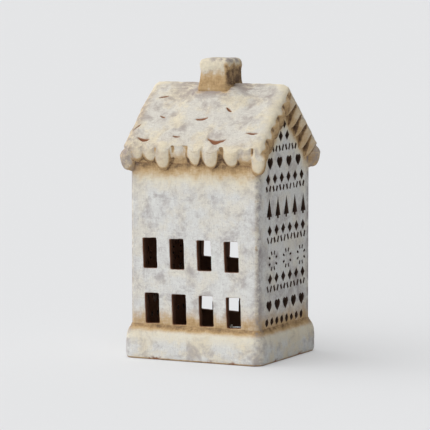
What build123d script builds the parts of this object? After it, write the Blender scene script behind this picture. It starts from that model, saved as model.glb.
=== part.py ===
"""A slab-built earthenware house under snow, and the tealight that it is set over.

Millimetres, +Z up. The origin is on the table under the middle of the house. The long walls run
along X, the front faces -Y and the gables face -X and +X.
"""

import os
from math import atan2, cos, degrees, pi, radians, sin, tan

from build123d import *

os.makedirs("parts", exist_ok=True)

# Walls, measured over their outer faces
wall_width = 94.0
wall_depth = 82.0
wall_thickness = 5.0
wall_corner_radius = 3.0
eave_height = 137.0            # top of the long walls, where the roof's underside meets the outer face

# Windows of the long walls: (height of the row's middle, shift of the row along the wall)
window_rows = [(70.9, -2.3), (34.0, -0.7)]
window_count = 4
window_pitch = 20.1
window_width = 10.4
window_height = 20.3
window_lean = 2.0              # degrees, the hand-cut windows all lean the same way

# Cutters for the gables
diamond_width, diamond_height = 5.0, 5.6
slit_width, slit_height, slit_tilt = 1.0, 3.1, 24.0
heart_width, heart_height = 7.2, 6.5
tree_width, tree_height, trunk_width, trunk_height = 6.4, 11.8, 1.6, 1.8
oval_width, oval_height, oval_tilt = 3.2, 4.4, -18.0
rosette_radius, rosette_marks = 5.6, 8
mark_width, mark_length = 1.1, 2.3

# Gable pattern: (height, count, pitch, shift along the gable)
oval_rows = [(26.8, 8, 7.7, 0.3)]
heart_rows = [(37.3, 5, 12.7, 2.2), (eave_height - 5.3, 4, 14.5, 0.0)]
diamond_rows = [
    (55.4, 6, 10.3, 3.8),
    (87.4, 6, 10.4, 3.7),
    (121.4, 6, 10.5, 1.3),
    (eave_height + 12.0, 2, 10.1, -0.6),
    (eave_height + 20.2, 1, 10.1, -0.4),
]
slit_rows = [
    (48.8, 12, 5.2, 3.0),
    (81.0, 12, 5.2, 3.4),
    (115.1, 12, 5.2, 1.6),
    (eave_height + 4.3, 8, 5.0, 0.2),
]
tree_rows = [(95.4, 5, 13.2, 3.4)]         # the height is the foot of the trunk
rosette_rows = [(67.2, 3, 22.0, 4.7)]

# Plinth
plinth_height = 22.0
plinth_projection = 4.5
plinth_corner_radius = 5.0
plinth_shoulder = 2.8
plinth_cove = 1.7              # reach of the smeared clay in the corner over the plinth
plinth_cove_rise = 1.5
plinth_cove_edge = 0.3
plinth_foot_bevel = 1.0

# Roof
roof_pitch = 41.3
roof_thickness = 8.0
roof_eave_overhang = 2.2       # the slab's plumb cut beyond the long walls
roof_rake_overhang = 3.4       # the slab's end beyond the gables
ridge_radius = 4.0

# Snow along the roof's edges
snow_bar = 3.6                 # how far the unbroken snow stands off the long walls
snow_end = 4.6                 # how far the unbroken snow stands off the gables
snow_lip = 1.6                 # depth of the unbroken snow under the roof slab
snow_round = 1.2
eave_drip_reach = 5.4
rake_drip_reach = 6.2
drip_bevel = 1.6
drip_flats = 6                 # flats round the tip of a drip
# Eave drips: (middle as a share of the eave's half length, width, drop below the eave line)
eave_drips = [
    (-0.910, 8.8, 12.6),
    (-0.748, 6.8, 4.4),
    (-0.564, 9.6, 5.6),
    (-0.353, 9.6, 11.4),
    (-0.139, 7.8, 4.6),
    (0.079, 9.0, 7.2),
    (0.325, 10.4, 8.8),
    (0.613, 8.8, 6.6),
    (0.771, 7.0, 5.0),
    (0.921, 8.2, 12.2),
]
# Rake drips: (middle as a share of the way from ridge to eave, width, drop below the roof's underside)
rake_drips = [
    (0.107, 7.2, 9.4),
    (0.302, 7.4, 10.8),
    (0.502, 7.4, 9.8),
    (0.702, 7.6, 11.6),
    (0.898, 7.0, 10.2),
]

# Chimney and its snow cap
chimney_width = 20.4
chimney_depth = 21.6
chimney_corner_radius = 1.8
flue_width = 10.4
flue_depth = 11.6
chimney_rise = 16.33           # top of the snow cap over the ridge
cap_thickness = 6.6
cap_reach = 0.9
cap_bevel = 2.0
cap_drips = [(-5.0, 8.8, 3.2), (5.0, 9.2, 2.4)]
cap_drip_bevel = 0.5

# Snow drift round the chimney's foot
drift_reach = 6.0
drift_edge = 0.8
drift_rise = 10.4
drift_corner_radius = 7.0

# Tealight
tealight_x = 12.0
tealight_y = -8.0
cup_radius = 18.6
cup_flare = 0.4
cup_height = 17.6
cup_sheet = 0.3
cup_rim = 0.6
cup_pleats = 36
wax_level = 14.0
wick_radius = 0.8
wick_height = 21.5
sustainer_radius = 6.2
sustainer_sheet = 0.3
sustainer_neck = 3.0
sustainer_neck_wall = 0.4
fit_clearance = 0.05

# Lines that the pieces share
half_width = wall_width / 2
half_depth = wall_depth / 2
pitch = radians(roof_pitch)
roof_drop = tan(pitch)
roof_height = roof_thickness / cos(pitch)
ridge_underside = eave_height + half_depth * roof_drop
ridge_line = ridge_underside + roof_height
roof_half_length = half_width + roof_rake_overhang
roof_half_span = half_depth + roof_eave_overhang
eave_half_length = half_width + rake_drip_reach
chimney_top = ridge_line + chimney_rise
chimney_shoulder = chimney_top - cap_thickness
drift_base = ridge_line - (chimney_depth / 2 + drift_reach) * roof_drop

# The four sides: outward direction, direction along the side, distance out, half length
front = (Vector(0, -1, 0), Vector(1, 0, 0), half_depth, half_width)
back = (Vector(0, 1, 0), Vector(-1, 0, 0), half_depth, half_width)
right = (Vector(1, 0, 0), Vector(0, 1, 0), half_width, half_depth)
left = (Vector(-1, 0, 0), Vector(0, -1, 0), half_width, half_depth)


def underside(reach):
    """Height of the roof's underside at a distance from the ridge."""
    return ridge_underside - reach * roof_drop


def topside(reach):
    """Height of the roof's top at a distance from the ridge."""
    return ridge_line - reach * roof_drop


def face_plane(side):
    """The outer face of a side, with x along the side and y up."""
    outward, along, out, half_length = side
    return Plane(origin=outward * out, x_dir=along, z_dir=outward)


def slope_plane(direction, height):
    """A plane parallel to one roof slope through the ridge line at a height."""
    return Plane(origin=(0, 0, height), z_dir=(0, direction * sin(pitch), cos(pitch)))


def mitred(ring, side):
    """One side of a ring of clay, cut off at its corners by 45 degree mitres."""
    outward, along, out, half_length = side
    with BuildPart() as piece:
        add(ring)
        for end in (-1, 1):
            corner = outward * out + along * (end * half_length)
            split(bisect_by=Plane(origin=corner, z_dir=along * end - outward), keep=Keep.BOTTOM)
    return piece.part


def roof_chevron(half_span, depth):
    """The roof's outline in the YZ plane: two slopes, a rounded ridge and plumb ends."""
    foot = ridge_line - half_span * roof_drop
    with BuildSketch() as chevron:
        with BuildLine():
            Polyline(
                (-half_span, foot),
                (0, ridge_line),
                (half_span, foot),
                (half_span, foot - depth),
                (0, ridge_line - depth),
                (-half_span, foot - depth),
                close=True,
            )
        make_face()
        fillet(chevron.vertices().sort_by(Axis.Y)[-1], ridge_radius)
    return chevron.sketch


def drips(plane, places, thickness, bevel):
    """Tongues of snow on a plane, each one given as (x, width, lowest y, highest y)."""
    tongues = []
    for x, width, lowest, highest in places:
        flank = width / 2
        outline = [(x - flank, highest)]
        for step in range(drip_flats + 1):
            turn = pi * step / drip_flats
            outline.append((x - flank * cos(turn), lowest + flank - flank * sin(turn)))
        outline.append((x + flank, highest))
        with BuildPart() as tongue:
            with BuildSketch(plane):
                with BuildLine():
                    Polyline(outline, close=True)
                make_face()
            extrude(amount=thickness)
            outer = tongue.faces().sort_by(Axis(plane.origin, plane.z_dir))[-1]
            chamfer(outer.edges().sort_by(Axis.Z)[:-1], bevel)
        tongues.append(tongue.part)
    return tongues


# Ring of the four walls, under the roof
with BuildPart() as wall_ring:
    with BuildSketch():
        RectangleRounded(wall_width, wall_depth, wall_corner_radius)
        Rectangle(wall_width - 2 * wall_thickness, wall_depth - 2 * wall_thickness, mode=Mode.SUBTRACT)
    extrude(amount=ridge_line)
    split(bisect_by=slope_plane(-1, ridge_underside), keep=Keep.BOTTOM)
    split(bisect_by=slope_plane(1, ridge_underside), keep=Keep.BOTTOM)


def long_wall(side):
    """A long wall with its two rows of windows."""
    with BuildPart() as wall:
        add(mitred(wall_ring.part, side))
        with BuildSketch(face_plane(side)):
            for height, shift in window_rows:
                with Locations((shift, height)):
                    with GridLocations(window_pitch, 0, window_count, 1):
                        Rectangle(window_width, window_height, rotation=window_lean)
        extrude(amount=-wall_thickness, mode=Mode.SUBTRACT)
    return wall.part


# Long walls
with BuildPart() as front_wall:
    add(long_wall(front))

with BuildPart() as back_wall:
    add(long_wall(back))

# Heart cutter, with the flats that a knife leaves
lobe = heart_width / 4
heart_top = heart_height / 2
with BuildSketch() as heart:
    with BuildLine():
        Polyline(
            (0, heart_top - lobe),
            (0.4 * lobe, heart_top - 0.3 * lobe),
            (lobe, heart_top),
            (1.7 * lobe, heart_top - 0.4 * lobe),
            (2 * lobe, heart_top - 1.2 * lobe),
            (1.5 * lobe, heart_top - 2.2 * lobe),
            (0, -heart_top),
        )
        mirror(about=Plane.YZ)
    make_face()

# Tree cutter, standing on its trunk
with BuildSketch() as tree:
    with BuildLine():
        Polyline(
            (-trunk_width / 2, 0),
            (trunk_width / 2, 0),
            (trunk_width / 2, trunk_height),
            (tree_width / 2, trunk_height),
            (0, tree_height),
            (-tree_width / 2, trunk_height),
            (-trunk_width / 2, trunk_height),
            close=True,
        )
    make_face()

# Diamond cutter
with BuildSketch() as diamond:
    with BuildLine():
        Polyline(
            (0, diamond_height / 2),
            (diamond_width / 2, 0),
            (0, -diamond_height / 2),
            (-diamond_width / 2, 0),
            close=True,
        )
    make_face()


# Oval cutter, knife-cut too
with BuildSketch() as oval:
    with BuildLine():
        Polyline(
            (0, oval_height / 2),
            (oval_width / 2, oval_height / 6),
            (oval_width / 2, -oval_height / 6),
            (0, -oval_height / 2),
            (-oval_width / 2, -oval_height / 6),
            (-oval_width / 2, oval_height / 6),
            close=True,
        )
    make_face()


def gable(side):
    """A gable pierced with the rows of cutters."""
    with BuildPart() as wall:
        add(mitred(wall_ring.part, side))
        with BuildSketch(face_plane(side)):
            for cutter, rows in ((diamond, diamond_rows), (heart, heart_rows), (tree, tree_rows)):
                for height, count, spacing, shift in rows:
                    with Locations((shift, height)):
                        with GridLocations(spacing, 0, count, 1):
                            add(cutter.sketch)
            for height, count, spacing, shift in oval_rows:
                with Locations((shift, height)):
                    with GridLocations(spacing, 0, count, 1):
                        add(oval.sketch, rotation=oval_tilt)
            for height, count, spacing, shift in slit_rows:
                for hand in (-1, 1):
                    with Locations((shift + hand * spacing / 2, height)):
                        with GridLocations(2 * spacing, 0, count // 2, 1):
                            Rectangle(slit_width, slit_height, rotation=hand * -slit_tilt)
            for height, count, spacing, shift in rosette_rows:
                with Locations((shift, height)):
                    with GridLocations(spacing, 0, count, 1):
                        with PolarLocations(rosette_radius, rosette_marks, 180 / rosette_marks):
                            Rectangle(mark_length, mark_width)
        extrude(amount=-wall_thickness, mode=Mode.SUBTRACT)
    return wall.part


# Gables
with BuildPart() as right_gable:
    add(gable(right))

with BuildPart() as left_gable:
    add(gable(left))

# Ring of the plinth, with a sloped shoulder, an eased foot and a smeared corner under the wall
with BuildPart() as plinth_ring:
    with BuildSketch():
        RectangleRounded(
            wall_width + 2 * plinth_projection, wall_depth + 2 * plinth_projection, plinth_corner_radius
        )
    extrude(amount=plinth_height)
    chamfer(plinth_ring.faces().sort_by(Axis.Z)[-1].edges(), plinth_shoulder)
    chamfer(plinth_ring.faces().sort_by(Axis.Z)[0].edges(), plinth_foot_bevel)
    with BuildSketch(Plane.XY.offset(plinth_height)):
        RectangleRounded(
            wall_width + 2 * plinth_cove, wall_depth + 2 * plinth_cove, wall_corner_radius + plinth_cove
        )
    extrude(
        amount=plinth_cove_rise,
        taper=degrees(atan2(plinth_cove - plinth_cove_edge, plinth_cove_rise)),
    )
    with BuildSketch():
        RectangleRounded(wall_width, wall_depth, wall_corner_radius)
    extrude(amount=plinth_height + plinth_cove_rise, mode=Mode.SUBTRACT)

# Plinth strips
with BuildPart() as plinth_front:
    add(mitred(plinth_ring.part, front))

with BuildPart() as plinth_back:
    add(mitred(plinth_ring.part, back))

with BuildPart() as plinth_right:
    add(mitred(plinth_ring.part, right))

with BuildPart() as plinth_left:
    add(mitred(plinth_ring.part, left))

# Both roof slabs, with the drift round the chimney's foot and the flue hole at the ridge
with BuildPart() as roof:
    with BuildSketch(Plane.YZ):
        add(roof_chevron(roof_half_span, roof_height))
    extrude(amount=roof_half_length, both=True)
    with BuildSketch(Plane.XY.offset(drift_base)):
        RectangleRounded(
            chimney_width + 2 * drift_reach, chimney_depth + 2 * drift_reach, drift_corner_radius
        )
    extrude(amount=drift_rise, taper=degrees(atan2(drift_reach - drift_edge, drift_rise)))
    with BuildSketch(Plane.YZ):
        with BuildLine():
            Polyline(
                (-roof_half_span, underside(roof_half_span)),
                (0, ridge_underside),
                (roof_half_span, underside(roof_half_span)),
                close=True,
            )
        make_face()
    extrude(amount=roof_half_length, both=True, mode=Mode.SUBTRACT)
    with BuildSketch():
        Rectangle(flue_width, flue_depth)
    extrude(amount=chimney_top, mode=Mode.SUBTRACT)

# Roof slabs, parted by a plumb joint under the ridge
with BuildPart() as roof_front:
    add(roof.part)
    split(bisect_by=Plane(origin=(0, 0, 0), z_dir=(0, 1, 0)), keep=Keep.BOTTOM)

with BuildPart() as roof_back:
    add(roof.part)
    split(bisect_by=Plane(origin=(0, 0, 0), z_dir=(0, 1, 0)), keep=Keep.TOP)


def eave_snow(side):
    """The snow along one eave: a bar over the roof's edge, with drips down the wall."""
    outward, along, out, half_length = side
    lip_height = eave_height - snow_lip
    bar_reach = out + snow_bar
    with BuildPart() as snow:
        with BuildSketch(Plane(origin=(0, 0, 0), x_dir=outward, z_dir=along * -1)) as bar:
            with BuildLine():
                Polyline(
                    (out, lip_height),
                    (out, topside(out)),
                    (bar_reach, topside(bar_reach)),
                    (bar_reach, lip_height),
                    close=True,
                )
            make_face()
            chamfer(bar.vertices().sort_by(Axis.X)[-2:], snow_round)
        extrude(amount=eave_half_length, both=True)
        places = []
        for share, width, drop in eave_drips:
            places.append((share * eave_half_length, width, eave_height - drop, topside(out)))
        add(drips(face_plane(side), places, eave_drip_reach, drip_bevel))
        split(bisect_by=slope_plane(outward.Y, ridge_line), keep=Keep.BOTTOM)
        add(roof.part, mode=Mode.SUBTRACT)
    return snow.part


# Snow along the eaves
with BuildPart() as front_eave_snow:
    add(eave_snow(front))

with BuildPart() as back_eave_snow:
    add(eave_snow(back))


def rake_snow(side, direction):
    """The snow on one half of a gable's roof edge: direction is the half's way along the gable."""
    outward, along, out, half_length = side
    plane = face_plane(side)
    way = along * direction
    with BuildPart() as snow:
        with BuildSketch(plane):
            add(roof_chevron(half_length, roof_height + snow_lip))
        extrude(amount=snow_end)
        outer = snow.faces().filter_by(lambda face: (face.normal_at() - outward).length < 1e-6)
        chamfer(outer.edges(), snow_round)
        places = []
        for share, width, drop in rake_drips:
            reach = share * half_length
            places.append((reach * direction, width, underside(reach) - drop, topside(reach - width / 2)))
        add(drips(plane, places, rake_drip_reach, drip_bevel))
        split(bisect_by=Plane(origin=(0, 0, 0), z_dir=way), keep=Keep.TOP)
        split(bisect_by=Plane(origin=way * half_length, z_dir=way), keep=Keep.BOTTOM)
        split(bisect_by=slope_plane(way.Y, ridge_line), keep=Keep.BOTTOM)
        add(roof.part, mode=Mode.SUBTRACT)
    return snow.part


# Snow along the rakes
with BuildPart() as right_rake_snow_front:
    add(rake_snow(right, -1))

with BuildPart() as right_rake_snow_back:
    add(rake_snow(right, 1))

with BuildPart() as left_rake_snow_front:
    add(rake_snow(left, 1))

with BuildPart() as left_rake_snow_back:
    add(rake_snow(left, -1))

# Chimney, a square tube that stands astride the ridge
with BuildPart() as chimney:
    with BuildSketch():
        RectangleRounded(chimney_width, chimney_depth, chimney_corner_radius)
        Rectangle(flue_width, flue_depth, mode=Mode.SUBTRACT)
    extrude(amount=chimney_shoulder)
    with BuildSketch(Plane.YZ):
        add(roof_chevron(roof_half_span, ridge_line))
    extrude(amount=roof_half_length, both=True, mode=Mode.SUBTRACT)
    add(roof.part, mode=Mode.SUBTRACT)

# Snow cap that closes the chimney, with drips down its four faces
with BuildPart() as chimney_snow:
    with BuildSketch(Plane.XY.offset(chimney_shoulder)):
        RectangleRounded(
            chimney_width + 2 * cap_reach,
            chimney_depth + 2 * cap_reach,
            chimney_corner_radius + cap_reach,
        )
    extrude(amount=cap_thickness)
    chamfer(chimney_snow.faces().sort_by(Axis.Z)[-1].edges(), cap_bevel)
    for side in (front, back, left, right):
        outward, along, out, half_length = side
        half = abs(outward.X) * chimney_width / 2 + abs(outward.Y) * chimney_depth / 2
        places = []
        for x, width, drop in cap_drips:
            places.append((x, width, chimney_shoulder - drop, chimney_top - cap_thickness / 2))
        plane = Plane(origin=outward * half, x_dir=along, z_dir=outward)
        add(drips(plane, places, cap_reach, cap_drip_bevel))

# Tealight cup, a pleated aluminium shell with a flat rim
cup_draft = degrees(atan2(cup_flare, cup_height))
pleat = cos(radians(180 / cup_pleats))
with BuildPart() as tealight_cup:
    with BuildSketch(Plane(origin=(tealight_x, tealight_y, 0))):
        RegularPolygon(cup_radius / pleat, cup_pleats)
    extrude(amount=cup_height, taper=-cup_draft)
    with BuildSketch(Plane(origin=(tealight_x, tealight_y, cup_height - cup_sheet))):
        RegularPolygon((cup_radius + cup_flare + cup_rim) / pleat, cup_pleats)
    extrude(amount=cup_sheet)
    with BuildSketch(Plane(origin=(tealight_x, tealight_y, cup_sheet))):
        RegularPolygon((cup_radius - cup_sheet) / pleat, cup_pleats)
    extrude(amount=cup_height, taper=-cup_draft, mode=Mode.SUBTRACT)

# Sustainer, a steel disc with a neck that grips the wick
wick_bore = wick_radius + fit_clearance
neck_radius = wick_bore + sustainer_neck_wall
neck_top = cup_sheet + sustainer_sheet + sustainer_neck
with BuildPart() as wick_sustainer:
    with BuildSketch(Plane(origin=(tealight_x, tealight_y, cup_sheet))):
        Circle(sustainer_radius)
    extrude(amount=sustainer_sheet)
    with BuildSketch(Plane(origin=(tealight_x, tealight_y, cup_sheet))):
        Circle(neck_radius)
    extrude(amount=neck_top - cup_sheet)
    with BuildSketch(Plane(origin=(tealight_x, tealight_y, cup_sheet))):
        Circle(wick_bore)
    extrude(amount=neck_top, mode=Mode.SUBTRACT)

# Wax, cast in the cup round the wick and its sustainer
with BuildPart() as tealight_wax:
    with BuildSketch(Plane(origin=(tealight_x, tealight_y, cup_sheet))):
        RegularPolygon((cup_radius - cup_sheet - fit_clearance) / pleat, cup_pleats)
    extrude(amount=wax_level - cup_sheet, taper=-cup_draft)
    with BuildSketch(Plane(origin=(tealight_x, tealight_y, 0))):
        Circle(sustainer_radius + fit_clearance)
    extrude(amount=cup_sheet + sustainer_sheet, mode=Mode.SUBTRACT)
    with BuildSketch(Plane(origin=(tealight_x, tealight_y, 0))):
        Circle(neck_radius + fit_clearance)
    extrude(amount=neck_top, mode=Mode.SUBTRACT)
    with BuildSketch(Plane(origin=(tealight_x, tealight_y, 0))):
        Circle(wick_bore)
    extrude(amount=wax_level, mode=Mode.SUBTRACT)

# Wick, standing on the cup's floor
with BuildPart() as wick:
    with BuildSketch(Plane(origin=(tealight_x, tealight_y, cup_sheet))):
        Circle(wick_radius)
    extrude(amount=wick_height - cup_sheet)

pieces = {
    "front_wall": front_wall,
    "back_wall": back_wall,
    "right_gable": right_gable,
    "left_gable": left_gable,
    "plinth_front": plinth_front,
    "plinth_back": plinth_back,
    "plinth_right": plinth_right,
    "plinth_left": plinth_left,
    "roof_front": roof_front,
    "roof_back": roof_back,
    "chimney": chimney,
    "chimney_snow": chimney_snow,
    "front_eave_snow": front_eave_snow,
    "back_eave_snow": back_eave_snow,
    "right_rake_snow_front": right_rake_snow_front,
    "right_rake_snow_back": right_rake_snow_back,
    "left_rake_snow_front": left_rake_snow_front,
    "left_rake_snow_back": left_rake_snow_back,
    "tealight_cup": tealight_cup,
    "tealight_wax": tealight_wax,
    "wick": wick,
    "wick_sustainer": wick_sustainer,
}
for name, piece in pieces.items():
    piece.part.label = name
    export_step(piece.part, f"parts/{name}.step")
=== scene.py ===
"""A whitewashed clay house under snow and the tealight it is set over: the looks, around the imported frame.

Metres, +Z up, in the frame's own axes. The long front wall faces -Y and the gables face -X and +X.
"""

import math

import bmesh
import bpy
import numpy as np
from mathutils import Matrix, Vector, noise


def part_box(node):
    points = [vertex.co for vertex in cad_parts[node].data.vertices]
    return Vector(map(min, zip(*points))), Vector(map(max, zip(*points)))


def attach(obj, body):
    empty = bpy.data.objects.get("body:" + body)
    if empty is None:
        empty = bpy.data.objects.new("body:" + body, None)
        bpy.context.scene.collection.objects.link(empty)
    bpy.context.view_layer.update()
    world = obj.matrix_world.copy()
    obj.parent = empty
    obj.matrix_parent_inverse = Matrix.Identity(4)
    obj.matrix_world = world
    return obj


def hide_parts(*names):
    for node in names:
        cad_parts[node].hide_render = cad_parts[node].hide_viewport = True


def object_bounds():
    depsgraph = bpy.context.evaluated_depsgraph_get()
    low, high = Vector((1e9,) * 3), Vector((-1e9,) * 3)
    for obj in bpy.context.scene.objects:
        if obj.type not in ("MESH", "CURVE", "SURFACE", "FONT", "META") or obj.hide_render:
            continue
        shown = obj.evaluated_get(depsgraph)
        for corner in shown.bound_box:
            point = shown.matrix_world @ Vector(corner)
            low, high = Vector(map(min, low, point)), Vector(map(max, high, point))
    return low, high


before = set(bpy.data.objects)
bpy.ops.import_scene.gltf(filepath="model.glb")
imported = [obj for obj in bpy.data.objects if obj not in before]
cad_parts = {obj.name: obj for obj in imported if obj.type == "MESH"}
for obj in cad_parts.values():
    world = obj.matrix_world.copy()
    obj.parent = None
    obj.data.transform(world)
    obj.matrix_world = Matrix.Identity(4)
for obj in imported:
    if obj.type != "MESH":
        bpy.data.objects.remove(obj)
solid_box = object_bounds()
scene = bpy.context.scene
scene.view_settings.view_transform = "Standard"

# Studio: a pale seamless floor under one large soft light from the front left and a dim even sky.
# The camera looks down the long lens of the photograph, a little above the eaves' height.
MM = 0.001
FLOOR_REACH = 60.0
FLOOR_COLOUR = (0.775, 0.781, 0.791, 1.0)
FLOOR_GLOW = 0.32  # share of the floor's own light, which keeps its shadows pale
KEY_DIRECTION = Vector((-0.44, -0.54, 0.72))
KEY_STRENGTH = 2.2
KEY_SPREAD = math.radians(110)
SKY_STRENGTH = 0.50
SKY_LEAN = 0.70  # share by which the sky is brighter on the left
CAMERA_PLACE = (0.83257, -1.67876, 0.2748)
CAMERA_DIP = math.radians(5.51)
CAMERA_TURN = math.radians(26.5)
CAMERA_LENS = 234.4
CAMERA_SIGHT = 200.0


def put_node(tree, kind, sockets=None, **settings):
    """Adds a node, sets its options, and fills its sockets with values or with links."""
    item = tree.nodes.new(kind)
    for key, value in settings.items():
        setattr(item, key, value)
    for key, value in (sockets or {}).items():
        if isinstance(value, bpy.types.NodeSocket):
            tree.links.new(value, item.inputs[key])
        else:
            item.inputs[key].default_value = value
    return item


def reckon(tree, how, *values):
    """One step of arithmetic on numbers or sockets, as a socket."""
    return put_node(tree, "ShaderNodeMath", dict(enumerate(values)), operation=how).outputs[0]


def axis_of(tree, place, axis):
    """One coordinate of a place, as a socket."""
    return put_node(tree, "ShaderNodeSeparateXYZ", {0: place}).outputs[axis]


def new_material(name, roughness, specular):
    """A material with one principled shader, whose colour and normal are linked later."""
    material = bpy.data.materials.new(name)
    material.use_nodes = True
    shader = material.node_tree.nodes["Principled BSDF"]
    shader.inputs["Roughness"].default_value = roughness
    shader.inputs["Specular IOR Level"].default_value = specular
    return material, material.node_tree, shader


def link_mesh(name, mesh):
    """Puts a finished mesh into the scene as an object at the origin."""
    piece = bpy.data.objects.new(name, mesh)
    scene.collection.objects.link(piece)
    return piece


floor_mesh = bpy.data.meshes.new("floor")
floor_corners = [(x * FLOOR_REACH, y * FLOOR_REACH, 0) for x, y in ((-1, -1), (1, -1), (1, 1), (-1, 1))]
floor_mesh.from_pydata(floor_corners, [], [(0, 1, 2, 3)])
floor = link_mesh("floor", floor_mesh)
floor_material, floor_tree, floor_shader = new_material("studio_floor", 1.0, 0.0)
floor_shader.inputs["Base Color"].default_value = FLOOR_COLOUR
floor_glow = put_node(floor_tree, "ShaderNodeEmission", {"Color": FLOOR_COLOUR, "Strength": 1.0}).outputs[0]
rays = floor_tree.nodes.new("ShaderNodeLightPath").outputs
seen = rays["Is Camera Ray"]
for kind in ("Is Glossy Ray", "Is Transmission Ray"):
    seen = reckon(floor_tree, "MAXIMUM", seen, rays[kind])
seen = reckon(floor_tree, "MULTIPLY", seen, FLOOR_GLOW)
floor_parts = {0: seen, 1: floor_shader.outputs[0], 2: floor_glow}
floor_mix = put_node(floor_tree, "ShaderNodeMixShader", floor_parts)
floor_tree.links.new(floor_mix.outputs[0], floor_tree.nodes["Material Output"].inputs["Surface"])
floor_mesh.materials.append(floor_material)

key_data = bpy.data.lights.new("key", "SUN")
key_data.energy = KEY_STRENGTH
key_data.angle = KEY_SPREAD
key = bpy.data.objects.new("key", key_data)
key.rotation_euler = (-KEY_DIRECTION).to_track_quat("-Z", "Y").to_euler()
scene.collection.objects.link(key)

sky = bpy.data.worlds.new("sky")
sky.use_nodes = True
sky_place = sky.node_tree.nodes.new("ShaderNodeTexCoord").outputs["Generated"]
sky_side = axis_of(sky.node_tree, sky_place, "X")
sky_level = reckon(sky.node_tree, "MULTIPLY_ADD", sky_side, -SKY_LEAN * SKY_STRENGTH, SKY_STRENGTH)
sky_shader = sky.node_tree.nodes["Background"]
sky_shader.inputs["Color"].default_value = (1.0, 1.0, 1.0, 1.0)
sky.node_tree.links.new(sky_level, sky_shader.inputs["Strength"])
scene.world = sky

camera_data = bpy.data.cameras.new("camera")
camera_data.lens = CAMERA_LENS
camera_data.clip_end = CAMERA_SIGHT
camera = bpy.data.objects.new("camera", camera_data)
camera.location = CAMERA_PLACE
camera.rotation_euler = (math.pi / 2 - CAMERA_DIP, 0, CAMERA_TURN)
scene.collection.objects.link(camera)
scene.camera = camera

# Plinth: four strips of clay luted round the foot of the walls and smoothed into one soft band.
# Its shoulder runs up into the wall in a cove, and its foot is chipped down to the red clay.
WALL_HALF_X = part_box("right_gable")[1].x
WALL_HALF_Y = -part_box("front_wall")[0].y
WALL_CORNER = 3.0 * MM
PLINTH_STEP = 0.7 * MM
# Out from the wall and height, in mm
PLINTH_SECTION = [
    (0.0, 0.0), (2.6, 0.0), (3.5, 0.5), (4.1, 1.4), (4.4, 2.6), (4.5, 5.0), (4.5, 11.0), (4.3, 14.0),
    (3.9, 16.4), (3.2, 18.5), (2.4, 20.0), (1.6, 21.1), (0.9, 22.0), (0.4, 22.9), (0.1, 23.45),
    (0.0, 23.5), (0.0, 12.0),
]
# Waves in the clay: their strength, their size in mm and a seed
PLINTH_WAVES = ((0.22, 22, 1), (0.12, 6, 2))
CHIP_WAVES = ((1.0, 9, 3), (0.5, 2, 4))
PLINTH_INSET = 0.25 * MM  # room for the waves
CHIP_DEPTH = 0.35 * MM
CORNER_STEPS = 9
BLOTCH_SIZE = 15 * MM
CLOUD_SIZE = 13 * MM
PATCH_SIZE = 6 * MM
SPECK_SIZE = 0.9 * MM
CLAY_GRAIN = 2.5 * MM
CORNER_DIRT = (-6.5 * MM, 0.5 * MM)  # where dirt sets in before a corner, and where it is full
FRONT_DIRT = 0.28  # share of it on the long sides. The gables have all of it
CREAM = (0.74, 0.66, 0.49, 1.0)
LIME_WASH = (0.692, 0.696, 0.673, 1.0)
SMOKE = (0.335, 0.298, 0.295, 1.0)
SOOT = (0.052, 0.029, 0.019, 1.0)
OCHRE = (0.50, 0.335, 0.165, 1.0)
UMBER = (0.115, 0.068, 0.042, 1.0)
RED_CLAY = (0.30, 0.125, 0.062, 1.0)


def read_points(mesh):
    """The mesh's points as an array of rows."""
    flat = np.empty(len(mesh.vertices) * 3, np.float32)
    mesh.vertices.foreach_get("co", flat)
    return flat.reshape(-1, 3).astype(float)


def write_points(mesh, points):
    """Moves the mesh's points to the rows of an array."""
    mesh.vertices.foreach_set("co", points.astype(np.float32).ravel())
    mesh.update()


def read_normals(mesh):
    """The mesh's point normals as an array of rows."""
    flat = np.empty(len(mesh.vertices) * 3, np.float32)
    mesh.vertex_normals.foreach_get("vector", flat)
    return flat.reshape(-1, 3).astype(float)


def keep_mask(mesh, name, values, domain="POINT"):
    """Stores one number for each point, or each corner of a face, for the material to read."""
    layer = mesh.attributes.new(name, "FLOAT", domain)
    layer.data.foreach_set("value", np.clip(values, 0, 1).astype(np.float32))


def lumps(points, size, seed):
    """Smooth noise of about -1 to 1 at each point, with lumps of the given size."""
    shift = Vector((seed * 7.3, seed * 3.1, seed * 5.7))
    return np.array([noise.noise(Vector(point) / size + shift) for point in points])


def uneven(points, waves):
    """Waves of such noise, added up."""
    return sum(strength * lumps(points, size * MM, seed) for strength, size, seed in waves)


def ramp(values, low, high):
    """Goes smoothly from 0 at low to 1 at high."""
    share = np.clip((values - low) / (high - low), 0, 1)
    return share * share * (3 - 2 * share)


def fade(tree, value, low, high, top=1.0):
    """The same smooth step, as a node, from 0 up to a top."""
    sockets = {"Value": value, "From Min": low, "From Max": high, "To Max": top}
    return put_node(tree, "ShaderNodeMapRange", sockets, interpolation_type="SMOOTHSTEP").outputs[0]


def sum_up(tree, how, first, *others):
    """Steps of arithmetic on masks, each held between 0 and 1."""
    for other in others:
        item = put_node(tree, "ShaderNodeMath", {0: first, 1: other}, operation=how, use_clamp=True)
        first = item.outputs[0]
    return first


def times(tree, *masks):
    """The product of masks."""
    return sum_up(tree, "MULTIPLY", *masks)


def most(tree, *masks):
    """The strongest of masks."""
    return sum_up(tree, "MAXIMUM", *masks)


def vector_step(tree, how, *values):
    """One step of arithmetic on vectors, as a socket."""
    return put_node(tree, "ShaderNodeVectorMath", dict(enumerate(values)), operation=how).outputs[0]


def object_place(tree):
    """The place of a point in the frame, as a socket."""
    return tree.nodes.new("ShaderNodeTexCoord").outputs["Object"]


def over(tree, share, under, top):
    """One colour laid over another by a share."""
    return put_node(tree, "ShaderNodeMix", {0: share, 6: under, 7: top}, data_type="RGBA").outputs[2]


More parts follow.
